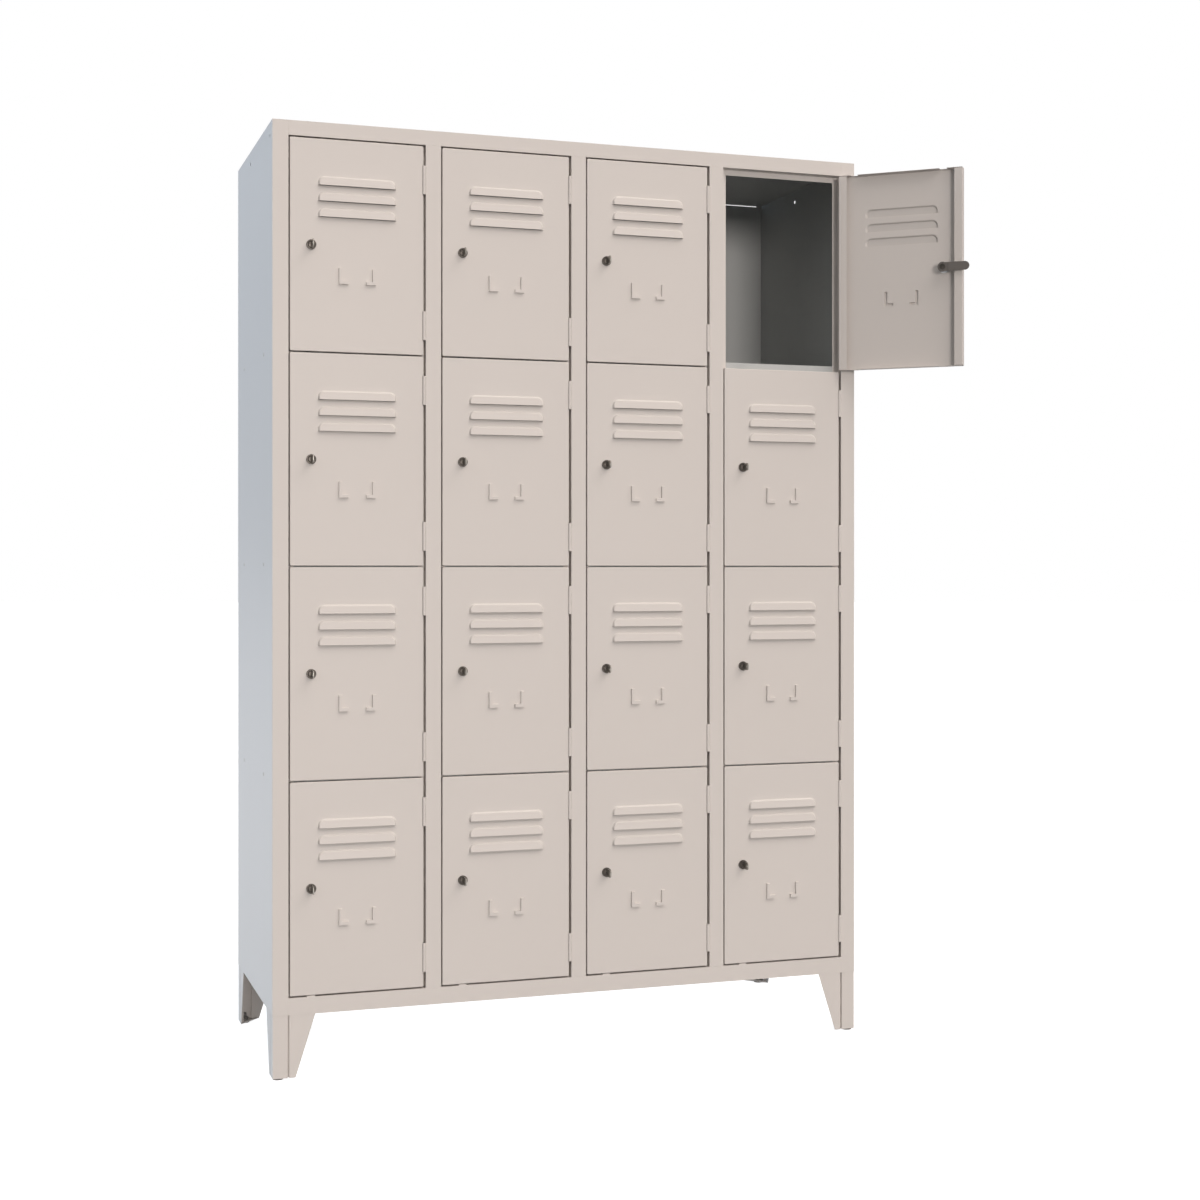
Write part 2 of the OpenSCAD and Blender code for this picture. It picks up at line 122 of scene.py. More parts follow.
sun("key", (0.36, -0.5, 0.79), 1.86, "#fff3eb", 50)
sun("front", (-0.05, -0.99, 0.05), 1.45, "#fff7f2", 15)
sun("left", (-0.75, 0.62, 0.2), 1.88, "#d2e8ff", 30)

world = bpy.data.worlds.new("studio")
bpy.context.scene.world = world
world.use_nodes = True
sky = world.node_tree.nodes["Background"]
sky.inputs["Color"].default_value = (1, 1, 1, 1)
bpy.context.scene.view_settings.view_transform = "Standard"


# %% [markdown]
# ## Materials
# The cabinet wears **polyester powder coat**: a plastic film baked on, with a satin gloss and a
# faint orange peel, whose waves are a millimetre or two long. To the eye that is a soft, wide
# highlight with no mirror image in it, and a tone that drifts a little across a big panel.
# Inside, the same coat is drawn darker and greyer, as painted shade for the compartments.
# The locks are die-cast zinc in a dark nickel finish, the keys are nickel silver, and the
# pads are moulded nylon. Every other finish starts from the real one's colour and roughness,
# and its pattern from a size in millimetres. The shader's own IOR of 1.5 already suits a polyester film.

# %% One function adds a node
def add(tree, kind, links=None, **settings):
    """Adds a node: settings name its properties or sockets, and links say what feeds which input."""
    made = tree.nodes.new(kind)
    for name, value in settings.items():
        if hasattr(made, name):
            setattr(made, name, value)
        else:
            made.inputs[name.replace("_", " ")].default_value = value
    for name, source in (links or {}).items():
        tree.links.new(source, made.inputs[name])
    return made


def new_material(name, **settings):
    """A material with its Principled shader, whose plain sockets are set directly."""
    made = bpy.data.materials.new(name)
    made.use_nodes = True
    shader = made.node_tree.nodes["Principled BSDF"]
    for socket, value in settings.items():
        shader.inputs[socket.replace("_", " ")].default_value = value
    return made, made.node_tree, shader


# %% White for the camera, and for everything else a dim fill that is dimmer still from below
studio = world.node_tree
direction = add(studio, "ShaderNodeTexCoord").outputs["Generated"]
up_down = add(studio, "ShaderNodeSeparateXYZ", {"Vector": direction})
dim = add(
    studio, "ShaderNodeMapRange", {"Value": up_down.outputs["Z"]},
    From_Min=-0.3, From_Max=1.0, To_Min=0.08, To_Max=0.75,
)
seen = add(studio, "ShaderNodeLightPath").outputs["Is Camera Ray"]
fill = add(studio, "ShaderNodeMix", {"Factor": seen, "A": dim.outputs["Result"]}, B=1.0)
studio.links.new(fill.outputs["Result"], sky.inputs["Strength"])
print("world", len(studio.nodes), "nodes")

# %% Powder coat
# The second grey is the same coat drawn darker and cooler: painted shade for faces inside the
# compartments.
FRONT_GREY, SHADED_GREY = "#cdc7c2", "#aeb0af"


def powder_coat(name, hex_colour, roughness=0.48, peel=0.3):
    """Satin powder coat: peel grains about 1.6 mm across, and slow drifts of tone over 250 mm."""
    made, tree, shader = new_material(name, Roughness=roughness)
    place = add(tree, "ShaderNodeTexCoord").outputs["Object"]
    drift = add(tree, "ShaderNodeTexNoise", {"Vector": place}, Scale=1 / (250 * MM), Detail=3.0)
    tone = add(tree, "ShaderNodeMapRange", {"Value": drift.outputs["Fac"]}, To_Min=0.985, To_Max=1.015)
    paint = add(tree, "ShaderNodeVectorMath", {1: tone.outputs["Result"]}, operation="MULTIPLY")
    paint.inputs[0].default_value = linear(hex_colour)[:3]
    tree.links.new(paint.outputs["Vector"], shader.inputs["Base Color"])
    grain = add(tree, "ShaderNodeTexNoise", {"Vector": place}, Scale=1 / (1.6 * MM), Detail=1.0)
    bump = add(tree, "ShaderNodeBump", {"Height": grain.outputs["Fac"]}, Strength=peel, Distance=0.04 * MM)
    tree.links.new(bump.outputs["Normal"], shader.inputs["Normal"])
    return made


# The doors, hinges, rivets and legs are warm grey: soft and pale, with shape shown by shade alone.
front_paint = powder_coat("powder_coat_warm_grey", FRONT_GREY)
# The shelves take the same coat drawn cooler and darker, as painted shade, so the open compartment
# recedes.
shaded_inner_paint = powder_coat("powder_coat_painted_shade_grey", SHADED_GREY)
print("paints", front_paint.name, shaded_inner_paint.name)


# %% [markdown]
# ## Building meshes
# Two helpers carry the whole lesson. `make_piece` turns arrays into an object and gives it to
# a body. `door_frame` says where a door stands, so a part drawn once, on a shut door at the
# origin, can be put on any of the sixteen. Drawing it sixteen times, or copying and turning
# objects, would leave pieces that are not at the origin, where their patterns would slide.

# %% Arrays into pieces
def make_piece(name, body, corners, material, thickness=0, sharp=35, replaces=()):
    """A mesh from quads, an (n, 4, 3) array of corners, with equal corners welded and smoothed."""
    count = len(corners)
    mesh = bpy.data.meshes.new(name)
    mesh.vertices.add(4 * count)
    mesh.vertices.foreach_set("co", corners.reshape(-1).astype(np.float32))
    mesh.loops.add(4 * count)
    mesh.loops.foreach_set("vertex_index", np.arange(4 * count, dtype=np.int32))
    mesh.polygons.add(count)
    mesh.polygons.foreach_set("loop_start", np.arange(0, 4 * count, 4, dtype=np.int32))
    mesh.update(calc_edges=True)
    work = bmesh.new()
    work.from_mesh(mesh)
    bmesh.ops.remove_doubles(work, verts=work.verts, dist=2e-6)
    bmesh.ops.dissolve_degenerate(work, edges=work.edges, dist=1e-6)
    work.to_mesh(mesh)
    work.free()
    mesh.polygons.foreach_set("use_smooth", np.ones(len(mesh.polygons), bool))
    mesh.set_sharp_from_angle(angle=math.radians(sharp))
    mesh.materials.append(material)
    made = bpy.data.objects.new(name, mesh)
    bpy.context.scene.collection.objects.link(made)
    if thickness:
        wall = made.modifiers.new("wall", "SOLIDIFY")
        wall.thickness, wall.offset, wall.use_even_offset = thickness, -1, True
        made.modifiers.new("normals", "WEIGHTED_NORMAL").keep_sharp = True
    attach(made, body)
    if replaces:
        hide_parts(*replaces)
    return made


def grid_quads(points):
    """The quads of a grid of points, an array (m, n, 3), as (quads, 4, 3)."""
    a, b, c, d = points[:-1, :-1], points[1:, :-1], points[1:, 1:], points[:-1, 1:]
    return np.stack([a, b, c, d], axis=2).reshape(-1, 4, 3)


def door_frame(tag):
    """A door's turn and place: its lock's axis tells how far it stands open, its hinge where."""
    axis = joints[f"lock_{tag}_turn"]["axis"]
    pin = joints[f"door_{tag}_hinge"]["pos_m"]
    turn = math.atan2(-axis[0], axis[1])
    spin = np.array(
        [[math.cos(turn), -math.sin(turn), 0], [math.sin(turn), math.cos(turn), 0], [0, 0, 1]]
    )
    return spin, np.array(pin)


def on_door(tag, points):
    """Puts points drawn on a shut door, its lock edge, face and bottom at 0, where it stands."""
    spin, pin = door_frame(tag)
    return (points - [PIN_X, PIN_Y, DOOR_H / 2]) @ spin.T + pin


print("doors", len(doors))


# %% [markdown]
# ## The door skin
# A door is one sheet. Its edges are folded back round a small radius, and the louvres and card
# brackets are pressed and sheared out of it. The shape is a height over the sheet. Each
# quad reads that height a hair inside its own corners, so where the height jumps, at a
# sheared edge, the quads part and leave a real slit. Everywhere else the corners weld.

# %% The heights of louvres and card brackets
BEND_R = 1.4 * MM
LOUVRE = {
    "count": 3, "l": 150 * MM, "h": 17.5 * MM, "pitch": 29.7 * MM, "drop": 87.5 * MM,
    "r": 13 * MM, "proud": 5.5 * MM, "top": 3 * MM, "rim": 3.2 * MM,
}
CARD = {
    "w": 71 * MM, "h": 31 * MM, "foot": 19 * MM, "strip": 7 * MM, "proud": 4 * MM, "drop": 241 * MM,
}
TINY, SHEAR = 1e-6, 0.4 * MM


def ease(t):
    """3t² - 2t³: rises from 0 to 1 with a level start and end, as pressed sheet does at its bends."""
    t = np.clip(t, 0, 1)
    return t * t * (3 - 2 * t)


def louvre_height(x, z):
    """Height of one louvre with its lip at z = 0: a steep rim inside a rounded outline, a face
    that leans out from 3 mm at the top to 5.5 mm at the lip, and nothing below the lip."""
    qx = np.abs(x) - (LOUVRE["l"] / 2 - LOUVRE["r"])
    qz = z - (LOUVRE["h"] - LOUVRE["r"])
    inside = LOUVRE["r"] - np.hypot(np.maximum(qx, 0), np.maximum(qz, 0))
    inside = np.where((qx <= 0) & (qz <= 0), LOUVRE["r"] - np.maximum(qx, qz), inside)
    lean = LOUVRE["proud"] - (LOUVRE["proud"] - LOUVRE["top"]) * np.clip(z / LOUVRE["h"], 0, 1)
    return np.where(z > 0, lean * ease(inside / LOUVRE["rim"]), 0)


def card_height(x, z):
    """Height of one card bracket, its corner at the origin: an L of flat strip, sheared all round."""
    upright = (x < CARD["strip"] - TINY) & (z < CARD["h"] - TINY)
    foot = (z < CARD["strip"] - TINY) & (x < CARD["foot"] - TINY)
    return np.where((upright | foot) & (np.minimum(x, z) > TINY), CARD["proud"], 0)


def face_height(x, z):
    """Height of the pressed shapes over a door's face, x from its lock edge and z from its bottom."""
    middle = DOOR_W / 2
    h = np.zeros(np.broadcast(x, z).shape)
    for i in range(LOUVRE["count"]):
        h += louvre_height(x - middle, z - (DOOR_H - LOUVRE["drop"] - i * LOUVRE["pitch"]))
    base = DOOR_H - CARD["drop"] - CARD["h"]
    for s in (-1, 1):
        h += card_height(s * (x - middle) + CARD["w"] / 2, z - base)
    return h


print("louvres", LOUVRE["count"], "of", round(LOUVRE["l"] / MM), "x", round(LOUVRE["h"] / MM, 1), "mm")


# %% Sizes of the folds, and of the notches for hinges and bolt
HINGE_L, HINGE_DROP, HINGE_RISE, HINGE_AIR = 55 * MM, 37 * MM, 29 * MM, 0.25 * MM
BARREL_R = 3.25 * MM
HINGE_SPANS = [
    (z - HINGE_AIR, z + HINGE_L + HINGE_AIR) for z in (HINGE_RISE, DOOR_H - HINGE_DROP - HINGE_L)
]
NOTCH_X = PIN_X - BARREL_R - 0.35 * MM
PAN_DEPTH, FLANGE_W, EDGE_NOTCH, NOTCH_DEPTH = 15 * MM, 17 * MM, 15 * MM, 11 * MM
print("hinges from", [[round(v / MM, 1) for v in span] for span in HINGE_SPANS], "mm up the door")


# %% Grid lines, close together only where the sheet bends
def lines(*stretches):
    """Joins stretches of (start, stop, step) into one rising array of grid lines."""
    parts = [np.linspace(a, b, max(2, round(abs(b - a) / step) + 1)) for a, b, step in stretches]
    return np.unique(np.round(np.concatenate(parts), 7))


def face_lines():
    """The door face's grid lines, across and up: rim and corner are the parts of a louvre's edge
    that bend, and the rest takes long quads."""
    rim, corner, wide = 3.5 * MM, 14 * MM, 40 * MM
    middle, end = DOOR_W / 2, LOUVRE["l"] / 2
    across = [(BEND_R, middle - end, wide), (middle + end, DOOR_W - BEND_R, wide)]
    for s in (-1, 1):
        across += [
            (middle + s * end, middle + s * (end - rim), 0.5 * MM),
            (middle + s * (end - rim), middle + s * (end - corner), 0.9 * MM),
        ]
        card_edge = middle + s * CARD["w"] / 2
        across += [(card_edge, card_edge - s * SHEAR, wide)]
        for v in (CARD["strip"], CARD["foot"]):
            across.append((card_edge - s * (v - SHEAR), card_edge - s * v, wide))
    up = [(BEND_R, 60 * MM, wide), (DOOR_H - 60 * MM, DOOR_H - BEND_R, wide)]
    for i in range(LOUVRE["count"]):
        lip = DOOR_H - LOUVRE["drop"] - i * LOUVRE["pitch"]
        top = lip + LOUVRE["h"]
        up += [(lip, lip + 0.6 * MM, 0.6 * MM), (lip, top - corner, 2 * MM)]
        up += [(top - corner, top - rim, 0.9 * MM), (top - rim, top, 0.5 * MM)]
    base = DOOR_H - CARD["drop"] - CARD["h"]
    up.append((base, base + SHEAR, wide))
    up += [(base + v - SHEAR, base + v, wide) for v in (CARD["strip"], CARD["h"])]
    up += [(z0, z1, 60 * MM) for z0, z1 in HINGE_SPANS]
    for x in (LOCK_X, DOOR_W - FLANGE_W - EDGE_NOTCH):
        across.append((x - EDGE_NOTCH / 2, x + EDGE_NOTCH / 2, EDGE_NOTCH))
    across.append((NOTCH_X, NOTCH_X, 1))
    return lines(*across), lines(*up)


print("grid", " x ".join(str(len(v)) for v in face_lines()), "lines")

# %% The door's section, and the skin
def bent(points, radius, steps=5):
    """A polyline in the plane with each corner rounded by an arc, which turns from a to b about
    its centre: centre + (sin((1 - t)w) a + sin(t w) b) / sin w, for the whole turn w."""
    points = np.array(points, float)
    out = [points[:1]]
    for before, here, after in zip(points[:-2], points[1:-1], points[2:]):
        u = (before - here) / np.linalg.norm(before - here)
        v = (after - here) / np.linalg.norm(after - here)
        half = math.acos(np.clip(u @ v, -1, 1)) / 2
        reach = radius / math.tan(half)
        centre = here + (u + v) / np.linalg.norm(u + v) * radius / math.sin(half)
        a, b = here + u * reach - centre, here + v * reach - centre
        t = np.linspace(0, 1, steps + 1)[:, None]
        sweep = math.pi - 2 * half
        out.append(centre + (np.sin((1 - t) * sweep) * a + np.sin(t * sweep) * b) / math.sin(sweep))
    out.append(points[-1:])
    return np.concatenate(out)


def door_quads():
    """The skin of a shut door at the origin: (x, -height(x, z), z) over the face and its side
    folds, then the top and bottom folds as a rounded profile carried across."""
    across, up = face_lines()
    r = BEND_R
    lock_side = bent([[FLANGE_W, PAN_DEPTH], [0, PAN_DEPTH], [0, 0], [2 * r, 0]], r)[:-1]
    hinge_side = [DOOR_W, 0] + lock_side[::-1] * [-1, 1]
    section = np.concatenate([lock_side, np.column_stack([across, 0 * across])[1:-1], hinge_side])
    z0, z1 = up[:-1], up[1:]
    s0, s1 = section[:-1], section[1:]
    on_face = (s0[:, 1] == 0) & (s1[:, 1] == 0)
    shrink = 1e-4
    quads = []
    for sa, sb, za in ((s0, s1, z0), (s1, s0, z0), (s1, s0, z1), (s0, s1, z1)):
        nx = sa[:, 0] + (sb[:, 0] - sa[:, 0]) * shrink
        nz = za + ((z0 + z1) / 2 - za) * 2 * shrink
        h = face_height(nx[:, None], nz[None, :]) * on_face[:, None]
        x, y = np.broadcast_arrays(sa[:, :1], h)[0], sa[:, 1:] - h
        quads.append(np.stack([x, y, np.broadcast_to(za, x.shape)], axis=-1))
    quads = np.stack(quads, axis=2)
    mid = quads.mean(axis=2)
    in_span = np.zeros(mid.shape[:2], bool)
    for a, b in HINGE_SPANS:
        in_span |= (mid[..., 2] > a) & (mid[..., 2] < b)
    notch = in_span & (mid[..., 0] > NOTCH_X) & (mid[..., 1] < PIN_Y + BARREL_R)
    body = quads[~notch].reshape(-1, 4, 3)
    folds = []
    for sign, edge in ((1, 0.0), (-1, DOOR_H)):
        path = bent([[2 * r, 0], [0, 0], [0, PAN_DEPTH]], r)[1:]
        path = np.vstack([path[:-1], [0, PAN_DEPTH - NOTCH_DEPTH], path[-1:]])
        grid = np.stack(
            [
                np.broadcast_to(across[None, :], (len(path), len(across))),
                np.broadcast_to(path[:, 1:], (len(path), len(across))),
                np.broadcast_to(edge + sign * path[:, :1], (len(path), len(across))),
            ],
            axis=-1,
        )
        fold = grid_quads(grid if sign > 0 else grid[::-1])
        mid = fold.mean(axis=1)
        cut = np.abs(mid[:, :1] - [LOCK_X, DOOR_W - FLANGE_W - EDGE_NOTCH]).min(axis=1) < EDGE_NOTCH / 2
        folds.append(fold[~(cut & (mid[:, 1] > PAN_DEPTH - NOTCH_DEPTH))])
    return np.concatenate([body, *folds])


door_skin = door_quads()
for tag in doors:
    make_piece(
        f"door_skin_{tag}", f"door_{tag}", on_door(tag, door_skin), front_paint,
        thickness=SHEET, replaces=[f"door_{tag}"],
    )
print("door skin", len(door_skin), "quads")

# %% [markdown]
# ## Hinges
# A cheap cabinet hinge is two strips of steel, each rolled round the pin at its edge. So a
# knuckle is not a drilled rod but a curl: a line down the leaf and then most of a circle. That
# path is carried up Z and given its wall, which leaves the small slit a real curl has.

# %% Curled leaves
LEAF_T = 1 * MM
LEAF_DEPTH = 11 * MM
KNUCKLE_L = (HINGE_L - 2 * HINGE_AIR) / 3


def prism(path, z0, z1):
    """A plane path carried up from z0 to z1, as quads."""
    grid = np.stack([np.column_stack([path, np.full(len(path), z)]) for z in (z0, z1)], axis=1)
    return grid_quads(grid)


def curl(leaf_x, side):
    """Down the leaf and round the pin: a line at leaf_x, then a circle of the knuckle's middle radius."""
    radius = BARREL_R - LEAF_T / 2
    start = math.acos(np.clip((leaf_x - PIN_X) / radius, -1, 1))
    turn = start + side * np.linspace(0, math.radians(330), 28)
    ring = np.column_stack([PIN_X + radius * np.cos(turn), PIN_Y + radius * np.sin(turn)])
    return np.vstack([[leaf_x, PIN_Y + LEAF_DEPTH], ring])


def hinge_quads(leaf_x, side, knuckles):
    """One leaf over the hinge's whole length, curled only at its own knuckles."""
    path = curl(leaf_x, side)
    flat = np.array([path[0], [leaf_x, PIN_Y + BARREL_R + 0.4 * MM]])
    parts = []
    for i in range(3):
        z0 = i * (KNUCKLE_L + HINGE_AIR)
        parts.append(prism(path if i in knuckles else flat, z0, z0 + KNUCKLE_L))
    return np.concatenate(parts)


def both_hinges(quads):
    """A hinge's quads at a door's lower and upper hinge."""
    return np.concatenate([quads + [0, 0, a + HINGE_AIR] for a, _ in HINGE_SPANS])


def solid_sheet(made, thickness, offset=0, bevel=0.15 * MM):
    """Gives a skin its wall and takes the sharpness off its cut edges."""
    wall = made.modifiers.new("wall", "SOLIDIFY")
    wall.thickness, wall.offset, wall.use_even_offset = thickness, offset, True
    edge = made.modifiers.new("edge", "BEVEL")
    edge.width, edge.segments, edge.limit_method, edge.angle_limit = bevel, 2, "ANGLE", math.radians(60)
    made.modifiers.new("normals", "WEIGHTED_NORMAL").keep_sharp = True


door_leaf = both_hinges(hinge_quads(DOOR_W + LEAF_T / 2, 1, (1,)))
frame_leaf = both_hinges(hinge_quads(DOOR_W + HINGE_GAP - LEAF_T / 2, -1, (0, 2)))
for tag in doors:
    leaves = on_door(tag, door_leaf)
    made = make_piece(f"door_hinges_{tag}", f"door_{tag}", leaves, front_paint)
    solid_sheet(made, LEAF_T)
shut = [np.array(joints[f"door_{tag}_hinge"]["pos_m"]) - [PIN_X, PIN_Y, DOOR_H / 2] for tag in doors]
made = make_piece(
    "hinge_frame_leaves", "cabinet", np.concatenate([frame_leaf + place for place in shut]),
    front_paint, replaces=["hinge_leaves"],
)
solid_sheet(made, LEAF_T)
print("hinges", 2 * len(doors), "with knuckles", round(KNUCKLE_L / MM, 1), "mm long")

# %% [markdown]
# ## The cam lock
# A cam lock is turned on a lathe and die cast, so its head and plug are surfaces of revolution:
# a profile of radius and height, spun about the lock's axis. Behind the door the cam is a
# stamped strip with a round hub, a small crank and a round end. Its wall grows backwards from
# the drawn face, so that it turns clear of the stop flange that it locks behind.

# %% Spun shapes
HEAD_R, PROUD, BODY_R, PLUG_R, NUT_R = 9.25 * MM, 3.5 * MM, 8 * MM, 5.5 * MM, 10.5 * MM
cam_low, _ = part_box("lock_cam_r4c1")
CAM_L, CAM_W, CAM_T, CRANK, HUB_R = 54 * MM, 17.5 * MM, 2 * MM, 0.6 * MM, 10 * MM
LOCK_BACK = STOP_Y - FRONT + SHEET + 0.2 * MM
CAM_Y = LOCK_BACK + 0.6 * MM
KEY_END = cam_low.y - FRONT


def spin_quads(profile, steps=48):
    """A profile of (r, y) pairs spun about the Y axis: (r cos t, y, r sin t) for t round the turn."""
    turn = np.linspace(0, 2 * math.pi, steps + 1)[:, None]
    r, y = np.array(profile).T
    grid = np.stack([r * np.cos(turn), y + 0 * turn, r * np.sin(turn)], axis=-1)
    return grid_quads(grid)


def at_lock(tag, quads, turned=False):
    """Puts quads drawn round the lock's axis, cam hanging down, at a door's lock."""
    if turned:
        spin, _ = door_frame(tag)
        if spin[0, 0] < 0.99:
            quads = np.stack([quads[..., 2], quads[..., 1], -quads[..., 0]], axis=-1)
    return on_door(tag, quads + [LOCK_X, 0, LOCK_Z])


# %% The lock's profiles, as (radius, y) with y = 0 at the door's face and the head in front of it
BORE = PLUG_R + 0.1 * MM
THREAD = BODY_R - 0.2 * MM
NUT_BACK = SHEET + 4 * MM
CAM_BACK = CAM_Y + CAM_T
head_profile = bent(
    [[BORE, -0.2 * MM], [BORE, -2.6 * MM], [PLUG_R + 1.1 * MM, -PROUD], [HEAD_R, -PROUD], [HEAD_R, 0]],
    0.45 * MM, 4,
)
barrel_profile = [
    [BODY_R, SHEET], [BODY_R, LOCK_BACK - 0.5 * MM], [BODY_R - 0.5 * MM, LOCK_BACK], [BORE, LOCK_BACK],
]
nut_profile = [
    [THREAD, SHEET], [NUT_R, SHEET], [NUT_R, NUT_BACK - 0.4 * MM], [NUT_R - 0.6 * MM, NUT_BACK],
    [THREAD, NUT_BACK],
]
plug_profile = bent([[0.3 * MM, -2.9 * MM], [PLUG_R, -2.9 * MM], [PLUG_R, CAM_Y]], 0.4 * MM, 4)
screw_profile = bent(
    [[0.3 * MM, CAM_BACK + 2.4 * MM], [1.6 * MM, CAM_BACK + 2.4 * MM], [1.6 * MM, CAM_BACK + 1.8 * MM],
     [6.5 * MM, CAM_BACK + 1.8 * MM], [6.5 * MM, CAM_BACK]],
    0.25 * MM, 4,
)
print("lock head", round(2 * HEAD_R / MM, 1), "mm across,", round(LOCK_BACK / MM, 1), "mm deep")


# %% The stamped cam
def cam_quads():
    """The cam's plan: for each place u from hub to tip, a half width w(u), as the larger of the hub's
    circle and the round-ended strip, at (w v, y, -u) for v from -1 to 1. Beyond the hub, the crank
    eases y back."""
    tip = CAM_L - CAM_W / 2
    t = np.linspace(0, 1, 25)
    u = np.concatenate([
        -HUB_R * np.cos(t * math.pi / 2), np.linspace(0, HUB_R + 1 * MM, 12)[1:],
        np.linspace(HUB_R + 1.5 * MM, tip, 12), tip + CAM_W / 2 * np.sin(t[1:] * math.pi / 2),
    ])
    hub = np.sqrt(np.clip(HUB_R**2 - u**2, 0, None))
    end = np.sqrt(np.clip((CAM_W / 2) ** 2 - np.clip(u - tip, 0, None) ** 2, 0, None))
    half = np.where(u < 0, hub, np.maximum(hub, end))
    v = np.linspace(-1, 1, 9)
    y = CAM_Y + CRANK * ease((u - HUB_R) / (1.5 * MM))
    grid = np.stack([half[:, None] * v, y[:, None] + 0 * v, -u[:, None] + 0 * v], axis=-1)
    return grid_quads(grid)


print("cam", round(CAM_L / MM), "x", CAM_W / MM, "mm")


# %% The key
def key_quads():
    """The key as a flat blank: a neck, then a bow drawn as rings that pass from its eye, a circle,
    to its rim, the superellipse |x/a|⁴ + |z/b|⁴ = 1."""
    out, half_h, neck, eye = -KEY_END, 7.5 * MM, 5 * MM, 2 * MM
    bow = PROUD + neck
    centre = out - 4.5 * MM
    turn = np.linspace(0, 2 * math.pi, 65)
    mid, half_l = (bow + out) / 2, (out - bow) / 2
    reach = np.array([np.cos(turn), np.sin(turn)])
    scale = (np.abs(reach[0] / half_l) ** 4 + np.abs(reach[1] / half_h) ** 4) ** -0.25
    rim = np.stack([mid + reach[0] * scale, reach[1] * scale])
    hole = np.stack([centre + eye * reach[0], eye * reach[1]])
    s = np.linspace(0, 1, 5)[:, None, None]
    ring = hole * (1 - s) + rim * s
    grid = np.stack([np.zeros_like(ring[:, 0]), -ring[:, 0], ring[:, 1]], axis=-1)
    half_w = 3.5 * MM
    stem = np.array([[[0, y, -half_w], [0, y, half_w]] for y in (-2 * MM, -bow - 1 * MM)])
    return np.concatenate([grid_quads(grid), grid_quads(stem)])


print("key reaches", round(-KEY_END / MM, 1), "mm from the door's face")


# %% Metals and nylon
def metal(name, hex_colour, roughness, grain_mm=0.4):
    """Bare or plated metal, with a fine cast or rolled grain that breaks up the gloss."""
    made, tree, shader = new_material(name, Base_Color=linear(hex_colour), Metallic=1.0)
    place = add(tree, "ShaderNodeTexCoord").outputs["Object"]
    grain = add(tree, "ShaderNodeTexNoise", {"Vector": place}, Scale=1 / (grain_mm * MM), Detail=2.0)
    low, high = roughness - 0.06, roughness + 0.06
    gloss = add(tree, "ShaderNodeMapRange", {"Value": grain.outputs["Fac"]}, To_Min=low, To_Max=high)
    tree.links.new(gloss.outputs["Result"], shader.inputs["Roughness"])
    bump = add(tree, "ShaderNodeBump", {"Height": grain.outputs["Fac"]}, Strength=0.2, Distance=0.02 * MM)
    tree.links.new(bump.outputs["Normal"], shader.inputs["Normal"])
    return made


# Die-cast zinc under dark nickel: a small dark ring that catches one broad glint.
dark_nickel = metal("dark_nickel_zinc", "#4b4743", 0.38)
# Stamped steel, blackened in an oxide bath: duller than the head, so the bolt reads as a dark bar.
cam_steel = metal("blackened_steel", "#6a6561", 0.45)
# Nickel silver, rolled and cut: the smoothest metal here, so the key shows bright and dark by turns.
key_nickel = metal("nickel_silver", "#8d8a84", 0.3)
# Zinc-plated steel on nuts and hinge pins: pale and slightly blue.
zinc_steel = metal("zinc_plated_steel", "#b9bcbf", 0.35)
print("metals", [m.name for m in (dark_nickel, cam_steel, key_nickel, zinc_steel)])

# %% Fit the locks
for tag in doors:
    door, lock = f"door_{tag}", f"lock_{tag}"
    head = np.concatenate([spin_quads(head_profile[::-1]), spin_quads(barrel_profile[::-1])])
    make_piece(
        f"lock_head_{tag}", door, at_lock(tag, head), dark_nickel,
        replaces=[f"lock_barrel_{tag}"],
    )
    nut = at_lock(tag, spin_quads(nut_profile[::-1], 6))
    make_piece(f"lock_nut_{tag}", door, nut, zinc_steel, sharp=20)
    plug = np.concatenate([spin_quads(plug_profile), spin_quads(screw_profile[::-1], 6)])
    make_piece(
        f"lock_plug_{tag}", lock, at_lock(tag, plug, True), dark_nickel,
        replaces=[f"lock_cam_{tag}"],
    )
    strip, blank = at_lock(tag, cam_quads(), True), at_lock(tag, key_quads(), True)
    cam = make_piece(f"lock_bolt_{tag}", lock, strip, cam_steel)
    solid_sheet(cam, CAM_T, offset=-1, bevel=0.3 * MM)
    key = make_piece(f"lock_key_{tag}", lock, blank, key_nickel)
    solid_sheet(key, 2 * MM, bevel=0.35 * MM)
print("locks", len(doors))

# %% [markdown]
# ## The paint on the frame
# The walls, roof, floor, shelves and legs are the imported model's own pieces, so they only need
# paint and softened edges. One sheet is warm grey outside, and inside it takes a darker, cooler
# grey as painted shade, so its paint asks where each point lies: within the cabinet's inner box it
# takes the painted shade grey. A split into two pieces would do too, but it would cut one real sheet in
# two.

# %% Paint on the frame's own nodes
# This mask decides where the painted shade grey goes: on every face inside the cabinet's inner box.
def inner_box(tree, place):
    """1 inside the cabinet and 0 outside: whether the least of p - low and high - p is above 0."""
    low = (-SIDE + SHEET / 2, STOP_Y + SHEET / 2, 0.0)
    high = (SIDE - SHEET / 2, back_high.y - SHEET / 2, TOP - SHEET / 2)
    above = add(tree, "ShaderNodeVectorMath", {0: place}, operation="SUBTRACT")
    above.inputs[1].default_value = low
    below = add(tree, "ShaderNodeVectorMath", {1: place}, operation="SUBTRACT")
    below.inputs[0].default_value = high
    sides = {0: above.outputs[0], 1: below.outputs[0]}
    least = add(tree, "ShaderNodeVectorMath", sides, operation="MINIMUM")
    x, y, z = add(tree, "ShaderNodeSeparateXYZ", {"Vector": least.outputs[0]}).outputs
    pair = add(tree, "ShaderNodeMath", {0: x, 1: y}, operation="MINIMUM")
    all_three = add(tree, "ShaderNodeMath", {0: pair.outputs[0], 1: z}, operation="MINIMUM")
    inside = add(tree, "ShaderNodeMath", {0: all_three.outputs[0]}, operation="GREATER_THAN")
    inside.inputs[1].default_value = 0.0
    return inside.outputs[0]


